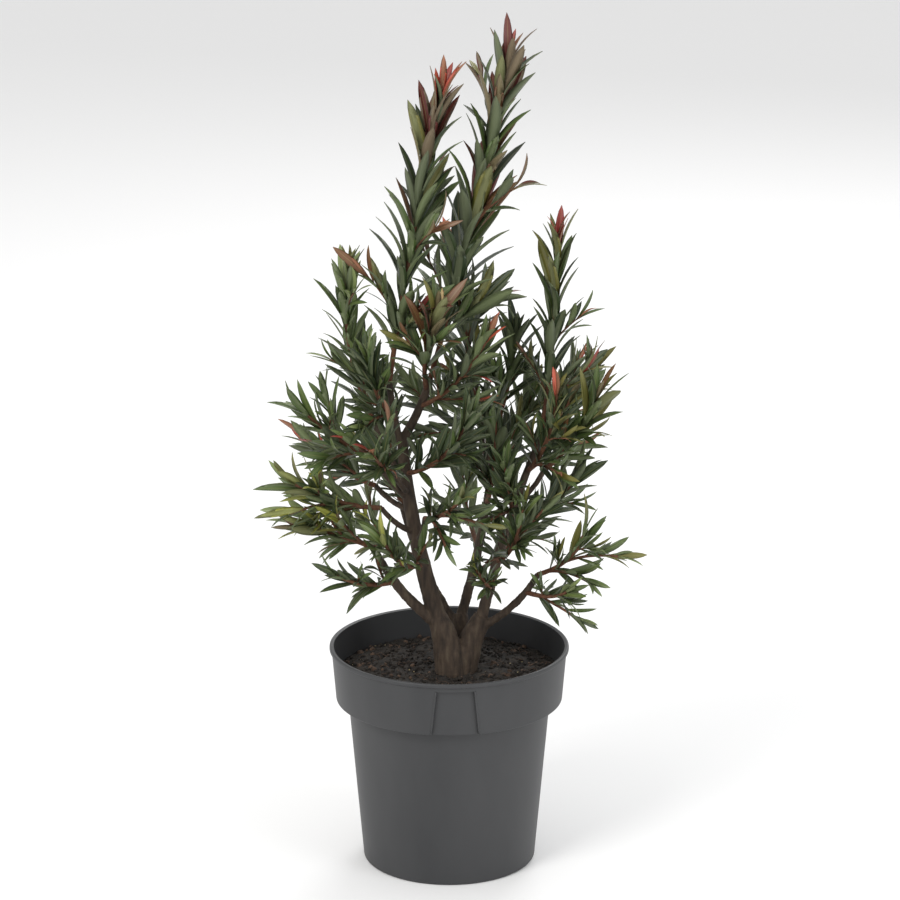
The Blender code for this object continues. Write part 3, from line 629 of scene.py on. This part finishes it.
def tube_mesh(spots, radii, sides):
    """Corners and faces of a closed tube through some points."""
    corners = []
    faces = []
    side = None
    for place, spot in enumerate(spots):
        ahead = spots[min(place + 1, len(spots) - 1)]
        behind = spots[max(place - 1, 0)]
        along = (ahead - behind).normalized()
        if side is None:
            side = along.cross(Vector((0.13, 0.97, 0.21))).normalized()
        side = (side - along * side.dot(along)).normalized()
        other = along.cross(side)
        for turn in range(sides):
            angle = 2 * math.pi * turn / sides
            out = side * math.cos(angle) + other * math.sin(angle)
            corners.append(spot + out * radii[place])
    for place in range(len(spots) - 1):
        for turn in range(sides):
            beside = (turn + 1) % sides
            low = place * sides
            high = low + sides
            faces.append((low + turn, low + beside, high + beside, high + turn))
    faces.append(tuple(range(sides - 1, -1, -1)))
    last = (len(spots) - 1) * sides
    faces.append(tuple(range(last, last + sides)))
    return corners, faces


def joined(name, shapes):
    """One mesh object from many (corners, faces) shapes."""
    corners = []
    faces = []
    for points, polygons in shapes:
        base = len(corners)
        corners += [tuple(point) for point in points]
        faces += [tuple(index + base for index in polygon) for polygon in polygons]
    mesh = bpy.data.meshes.new(name)
    mesh.from_pydata(corners, [], faces)
    mesh.shade_smooth()
    return add_object(name, mesh)


def line_tube(line, sides, steps):
    """A tube along a line, as thick as the line says."""
    shares = [step / steps for step in range(steps + 1)]
    spots = [line.point(share) for share in shares]
    return tube_mesh(spots, [line.radius(share) for share in shares], sides)


def limb_lines():
    """The lines of the trunk's legs and of every stem and bough, by name."""
    lines = {}
    for name, foot, tip, bow, radii in LEGS:
        start = mm((*foot, SOIL_TOP - LEG_SINK))
        lines[name] = Line(start, mm(tip), mm(bow), [radius * MM for radius in radii])
    for limb in LIMBS:
        parent = lines[limb.parent]
        radii = [radius * MM for radius in limb.thick]
        lines[limb.name] = Line(parent.point(limb.at), mm(limb.tip), mm(limb.bow), radii)
    return lines


def bark_height(x, y, z):
    """The relief of the bark at a place, in metres, weaker on the young wood higher up."""
    long_grain = noise.noise(Vector((x * GRAIN_ACROSS, y * GRAIN_ACROSS, z * GRAIN_ALONG)))
    knots = noise.noise(Vector((x, y, z)) * KNOT_SCALE)
    fine = noise.noise(Vector((x, y, z)) * FINE_SCALE)
    thick = min(1.0, max(LEAST_RELIEF, (SMOOTH_FROM - z) / FADE))
    return (long_grain * GRAIN_DEPTH + knots * KNOT_DEPTH + fine * FINE_DEPTH) * thick * MM


def make_wood(lines, look):
    """Trunk, stems and boughs fused into one barky surface with ridges and knots."""
    legs = {leg[0] for leg in LEGS}
    wood = joined("bark", [
        line_tube(line, LIMB_SIDES, max(10, int(line.length() / (LIMB_STEP * MM))))
        for line in lines.values()
    ])
    fuse = wood.modifiers.new("fuse", "REMESH")
    fuse.mode = "VOXEL"
    fuse.voxel_size = BARK_VOXEL * MM
    wood = applied(wood)
    wood.name = "bark"
    count = len(wood.data.vertices)
    spots = np.empty(count * 3)
    wood.data.vertices.foreach_get("co", spots)
    spots = spots.reshape(-1, 3)
    normals = np.empty(count * 3)
    wood.data.vertex_normals.foreach_get("vector", normals)
    normals = normals.reshape(-1, 3)
    heights = np.array([bark_height(*spot) for spot in spots.tolist()])
    wood.data.vertices.foreach_set("co", (spots + normals * heights[:, None]).ravel())
    wood.data.update()
    wood.data.shade_smooth()
    wood.data.materials.clear()
    wood.data.materials.append(look)
    nodes = ["trunk"] + [name for name in lines if name not in legs]
    place_piece(wood, nodes)


def leaf_template(fold, arch, curl):
    """Corners of a leaf one unit long: across and lift in half widths, along and level in lengths."""
    corners = []
    for row in range(LEAF_ROWS + 1):
        share = row / LEAF_ROWS
        wide = max(LEAF_TIP, (share ** 0.8) * ((1 - share) ** 0.72) * 1.86)
        if row == 0:
            wide = LEAF_FOOT
        level = arch * math.sin(math.pi * share) - curl * share ** 3
        for column in LEAF_COLUMNS:
            lift = fold * abs(column) ** 1.4 * wide
            corners.append((column * wide, share, level, lift))
        corners.append((0.0, share, level, LEAF_BACK))
    return np.array(corners)


def leaf_faces():
    """Faces of the corner grid, and for each 0 for the upper side, 1 for the rib, 2 for below."""
    across = len(LEAF_COLUMNS)
    width = across + 1
    faces = []
    kinds = []
    for row in range(LEAF_ROWS):
        low = row * width
        high = low + width
        for column in range(across - 1):
            faces.append((low + column, low + column + 1, high + column + 1, high + column))
            kinds.append(1 if column == across // 2 - 1 else 0)
        faces.append((low, high, high + across, low + across))
        kinds.append(2)
        faces.append((low + across, high + across, high + across - 1, low + across - 1))
        kinds.append(2)
    return np.array(faces), kinds


class Foliage:
    """Leaves gathered by tint, each tint a piece of its own."""

    def __init__(self):
        self.faces, self.kinds = leaf_faces()
        self.leaves = {tint: [] for tint in TINTS}

    def add(self, tint, place, length, width, chance):
        """Adds one leaf of a length in metres, and a width as a share of it."""
        grid = leaf_template(chance.uniform(*FOLDS), chance.uniform(*ARCHES), chance.uniform(*CURLS))
        half = length * width / 2
        points = np.empty((len(grid), 4))
        points[:, 0] = grid[:, 0] * half
        points[:, 1] = grid[:, 1] * length
        points[:, 2] = grid[:, 2] * length + grid[:, 3] * half
        points[:, 3] = 1
        self.leaves[tint].append((points @ np.array(place).T)[:, :3])

    def finish(self, masses):
        """Makes the piece of each tint that has leaves, in place of the masses."""
        for tint, leaves in self.leaves.items():
            if not leaves:
                continue
            count = len(leaves[0])
            corners = np.concatenate(leaves)
            faces = np.concatenate([self.faces + count * number for number in range(len(leaves))])
            mesh = bpy.data.meshes.new("leaves_" + tint)
            mesh.from_pydata(corners.tolist(), [], faces.tolist())
            for look in leaf_materials(tint):
                mesh.materials.append(look)
            mesh.polygons.foreach_set("material_index", self.kinds * len(leaves))
            mesh.shade_smooth()
            place_piece(add_object("leaves_" + tint, mesh), masses)


def leaf_place(root, heading, face_to, twist):
    """The matrix that sets a leaf's root, direction and upper side."""
    across = heading.cross(face_to).normalized()
    upper = across.cross(heading).normalized()
    turn = Matrix((across, heading, upper)).transposed().to_4x4()
    return Matrix.Translation(root) @ turn @ Matrix.Rotation(twist, 4, "Y")


def side_twigs(shoot, stem, chance):
    """The side twigs of a shoot: short lines that leave its stem and turn up beside it."""
    made = []
    for number in range(shoot.sides):
        share = SIDE_FIRST + SIDE_NEXT * number
        start = stem.point(share)
        along = stem.heading(share)
        out = side_of(along, chance.uniform(0, 2 * math.pi))
        heading = (along * 0.75 + out * 0.65 + Vector((0, 0, 0.2))).normalized()
        tip = start + heading * SIDE_LENGTH
        bow = -out * SIDE_LENGTH * 0.08
        made.append(Line(start, tip, bow, (TWIG_TIP * 1.1, TWIG_TIP * 0.85)))
    return made


def fine_twigs(stem, chance, count):
    """Finer twigs along a stem, shorter than its side twigs."""
    made = []
    for number in range(count):
        share = 0.15 + 0.6 * (number + chance.random()) / count
        start = stem.point(share)
        along = stem.heading(share)
        out = side_of(along, number * TURN + chance.uniform(-0.5, 0.5))
        heading = (along * 0.7 + out * 0.8 + Vector((0, 0, 0.25))).normalized()
        length = stem.length() * chance.uniform(0.16, 0.24)
        radii = (TWIG_TIP * 0.8, TWIG_TIP * 0.5)
        made.append(Line(start, start + heading * length, -out * length * 0.06, radii))
    return made


def in_pot(spot):
    """True for a place inside the pot's wall or the soil."""
    inside = math.hypot(spot.x, spot.y) < (RIM_RADIUS + 1) * MM
    return inside and spot.z < (SOIL_TOP + 2) * MM


def pick(shoot, share, chance):
    """A leaf's tint by its height on the shoot, with some variation between neighbours."""
    if share > END_FROM:
        base = shoot.end
    elif share > HIGH_FROM:
        base = shoot.high if chance.random() < 0.75 else shoot.low
    elif share > MIXED_FROM:
        base = shoot.low if chance.random() < 0.7 else shoot.high
    else:
        base = shoot.low
    return chance.choice(VARIES[base])


def grow_twig(shoot, twig, count, sizes, foliage, chance, shorter):
    """Leaves that spiral up a twig, old and open at its foot, young and closed at its tip."""
    for number in range(count):
        share = BARE + (1 - BARE) * ((number + 1) / count) ** CROWDING
        turn = number * TURN + chance.uniform(-0.3, 0.3)
        opened = (OPEN_LOW + (OPEN_TIP - OPEN_LOW) * share ** 0.8) * chance.uniform(0.75, 1.25)
        length = (sizes[0] + (sizes[1] - sizes[0]) * share) * shorter * chance.uniform(0.8, 1.05)
        if share < LOW_SHARE:
            length *= 1 - LOW_SHARE + share
        if share > TIP_SHARE:
            length *= chance.uniform(0.55, 0.85)
        along = twig.heading(share)
        out = side_of(along, turn)
        heading = along * math.cos(opened) + out * math.sin(opened)
        heading = (heading + Vector((0, 0, LIFT * math.sin(opened)))).normalized()
        root = twig.point(share) - along * 0.4 * MM
        if in_pot(root + heading * length) or in_pot(root + heading * length * 0.6):
            continue
        twist = chance.uniform(-TWIST, TWIST)
        place = leaf_place(root, heading, along + Vector((0, 0, 0.3)), twist)
        tint = pick(shoot, share, chance)
        width = LEAF_WIDTH * chance.uniform(0.9, 1.12)
        foliage.add(tint, place, length, width, chance)


def grow_crown(lines, look):
    """Every shoot's twigs and leaves, by the part's rule and then on to finer twigs."""
    foliage = Foliage()
    young = []
    for shoot in SHOOTS:
        parent = lines[shoot.limb]
        stem = Line(parent.point(shoot.at), mm(shoot.tip), mm(shoot.bow), (TWIG_FOOT, TWIG_TIP))
        twigs = [stem] + side_twigs(shoot, stem, random.Random(SEED + len(shoot.name)))
        chance = random.Random(SEED + sum(ord(letter) for letter in shoot.name))
        finer = fine_twigs(stem, chance, 2 if shoot.leaves < 30 else 3)
        sizes = [size * MM for size in shoot.leaf]
        whole = sum(twig.length() for twig in twigs)
        for twig in twigs:
            count = round(shoot.leaves * FULLER * twig.length() / whole)
            shorter = 1.0 if twig is stem else SIDE_SIZE
            grow_twig(shoot, twig, count, sizes, foliage, chance, shorter)
            young.append(line_tube(twig, 8, 12))
        for twig in finer:
            grow_twig(shoot, twig, FINE_LEAVES, sizes, foliage, chance, FINE_SIZE)
            young.append(line_tube(twig, 6, 6))
    masses = ["mass_" + shoot.name for shoot in SHOOTS]
    foliage.finish(masses)
    twigs = joined("twigs", young)
    twigs.data.materials.append(look)
    place_piece(twigs, masses)


def soil_radius(angle, edge):
    """The soil's radius at an angle, in millimetres: less behind the label panel."""
    if abs(angle - math.radians(270 + LABEL_TURN)) > LABEL_HALF_ANGLE:
        return edge
    return collar_radius(COLLAR_FOOT) - LABEL_DEPTH - LABEL_BACK - LABEL_CLEARANCE


def soil_surface(edge):
    """Corners and faces of the lumpy top, with a skirt down to the step in the pot's wall."""
    corners = []
    faces = []
    for ring in range(SOIL_RINGS + 1):
        for turn in range(SOIL_TURNS):
            angle = 2 * math.pi * turn / SOIL_TURNS
            radius = soil_radius(angle, edge) * ring / SOIL_RINGS
            spot = Vector((radius * math.cos(angle), radius * math.sin(angle), 0))
            lump = sum(noise.noise(spot * scale) * height for scale, height in SOIL_LUMPS)
            fall = SOIL_EDGE_DROP * (ring / SOIL_RINGS) ** 4
            corners.append(mm((spot.x, spot.y, SOIL_TOP + lump - fall)))
    skirt = [corner.copy() for corner in corners[-SOIL_TURNS:]]
    for corner in skirt:
        corner.z = (COLLAR_FOOT + WALL + SOIL_GAP) * MM
    corners += skirt
    for ring in range(SOIL_RINGS + 1):
        for turn in range(SOIL_TURNS):
            beside = (turn + 1) % SOIL_TURNS
            low = ring * SOIL_TURNS
            high = low + SOIL_TURNS
            faces.append((low + turn, high + turn, high + beside, low + beside))
    return corners, faces


def ball_shape():
    """Corners and faces of a coarse ball with a radius of one."""
    ball = bmesh.new()
    bmesh.ops.create_icosphere(ball, subdivisions=1, radius=1.0)
    corners = [corner.co.copy() for corner in ball.verts]
    faces = [tuple(corner.index for corner in face.verts) for face in ball.faces]
    ball.free()
    return corners, faces


def crumb(ball, centre, size, flat, chance):
    """One irregular lump of the potting mix, in metres, from a centre and size in millimetres."""
    angle = chance.uniform(0, 6.28)
    axis = Vector((chance.random(), chance.random(), 0.5))
    turn = Matrix.Rotation(angle, 3, axis)
    stretch = Vector((1, chance.uniform(0.5, 1.0), flat))
    corners = []
    for corner in ball[0]:
        local = Vector(a * b for a, b in zip(corner, stretch)) * size * chance.uniform(0.75, 1.1)
        corners.append((centre + turn @ local) * MM)
    return corners, ball[1]


def scattered(count, sizes, edge, chance):
    """Crumbs of a range of sizes, strewn over the soil."""
    ball = ball_shape()
    shapes = []
    for _ in range(count):
        radius = edge * math.sqrt(chance.random()) * 0.985
        angle = chance.uniform(0, 2 * math.pi)
        size = chance.uniform(*sizes)
        flat = chance.uniform(0.45, 0.9)
        fall = SOIL_EDGE_DROP * (radius / edge) ** 4
        level = SOIL_TOP - fall + 0.4
        centre = Vector((radius * math.cos(angle), radius * math.sin(angle), level))
        shapes.append(crumb(ball, centre, size, flat, chance))
    return shapes


def fibre(edge, chance):
    """One thin bent fibre that lies on the soil."""
    radius = edge * math.sqrt(chance.random()) * 0.93
    angle = chance.uniform(0, 2 * math.pi)
    start = Vector((radius * math.cos(angle), radius * math.sin(angle), SOIL_TOP + 0.6))
    turn = chance.uniform(0, 2 * math.pi)
    reach = chance.uniform(4, 11)
    spots = []
    for step in range(FIBRE_STEPS + 1):
        share = step / FIBRE_STEPS
        bend = turn + share * chance.uniform(-0.4, 0.8)
        spot = start + Vector((math.cos(bend), math.sin(bend), 0)) * reach * share
        if math.hypot(spot.x, spot.y) > edge * 0.97:
            spot = start.copy()
        spot.z += FIBRE_RISE * math.sin(math.pi * share)
        spots.append(spot * MM)
    return tube_mesh(spots, [FIBRE_RADIUS * MM] * len(spots), 5)


def make_soil(earth, chip, grain):
    """The potting mix: a lumpy top, with crumbs, chips, grains and fibres."""
    chance = random.Random(SEED)
    edge = collar_radius(SOIL_TOP) - WALL - SOIL_GAP
    pieces = (
        ("soil_top", [soil_surface(edge)], earth),
        ("soil_crumbs", scattered(CRUMBS, (0.7, 2.4), edge, chance), earth),
        ("soil_chips", scattered(CHIPS, (1.4, 3.4), edge, chance), chip),
        ("soil_grains", scattered(GRAINS, (0.6, 1.0), edge, chance), grain),
        ("soil_fibres", [fibre(edge, chance) for _ in range(FIBRES)], chip),
    )
    for name, shapes, look in pieces:
        piece = joined(name, shapes)
        piece.data.materials.append(look)
        place_piece(piece, ["soil"] if name == "soil_top" else [])


def add_light(name, place, aim, size, power, colour):
    """A round soft lamp that faces a point."""
    data = bpy.data.lights.new(name, "AREA")
    data.shape = "DISK"
    data.size = size
    data.energy = power
    data.color = colour
    lamp = bpy.data.objects.new(name, data)
    lamp.location = place
    lamp.rotation_euler = (Vector(aim) - Vector(place)).to_track_quat("-Z", "Y").to_euler()
    bpy.context.scene.collection.objects.link(lamp)


def make_floor():
    """The plain pale floor."""
    mesh = bpy.data.meshes.new("floor")
    shape = bmesh.new()
    bmesh.ops.create_grid(shape, x_segments=1, y_segments=1, size=FLOOR_SIZE)
    shape.to_mesh(mesh)
    shape.free()
    floor = add_object("floor", mesh)
    look, _, _ = new_material("floor_pale", (0.86, 0.86, 0.86), 0.7)
    mesh.materials.append(look)


def make_stage():
    """Pale floor, soft studio light and the photo's camera."""
    make_floor()
    world = bpy.data.worlds.new("studio")
    world.use_nodes = True
    sky = world.node_tree.nodes["Background"]
    sky.inputs["Color"].default_value = (1, 1, 1, 1)
    sky.inputs["Strength"].default_value = SKY_STRENGTH
    bpy.context.scene.world = world
    for lamp in LAMPS:
        add_light(*lamp)
    data = bpy.data.cameras.new("camera")
    data.lens = LENS
    data.sensor_width = SENSOR
    data.clip_start = CLIP_START
    camera = bpy.data.objects.new("camera", data)
    camera.location = CAMERA_PLACE
    camera.rotation_euler = (math.pi / 2 - CAMERA_DOWN, 0, 0)
    bpy.context.scene.collection.objects.link(camera)
    bpy.context.scene.camera = camera
    bpy.context.scene.view_settings.view_transform = "Standard"


plastic = pot_material()
earth = soil_material("earth", (0.006, 0.005, 0.004), (0.030, 0.022, 0.016))
chip = soil_material("bark_chip", (0.030, 0.018, 0.012), (0.120, 0.075, 0.050))
grain = soil_material("pale_grain", (0.250, 0.200, 0.110), (0.480, 0.400, 0.240))
old_stops = (
    (0.30, (0.022, 0.015, 0.010)),
    (0.55, (0.060, 0.040, 0.026)),
    (0.8, (0.110, 0.085, 0.055)),
)
old_bark = bark_material("old_bark", old_stops, 240)
young_stops = (
    (0.3, (0.075, 0.026, 0.014)),
    (0.7, (0.170, 0.075, 0.035)),
)
young_bark = bark_material("young_bark", young_stops, 400)

make_stage()
make_pot(plastic)
make_label_lips(plastic)
make_soil(earth, chip, grain)
limbs = limb_lines()
make_wood(limbs, old_bark)
grow_crown(limbs, young_bark)
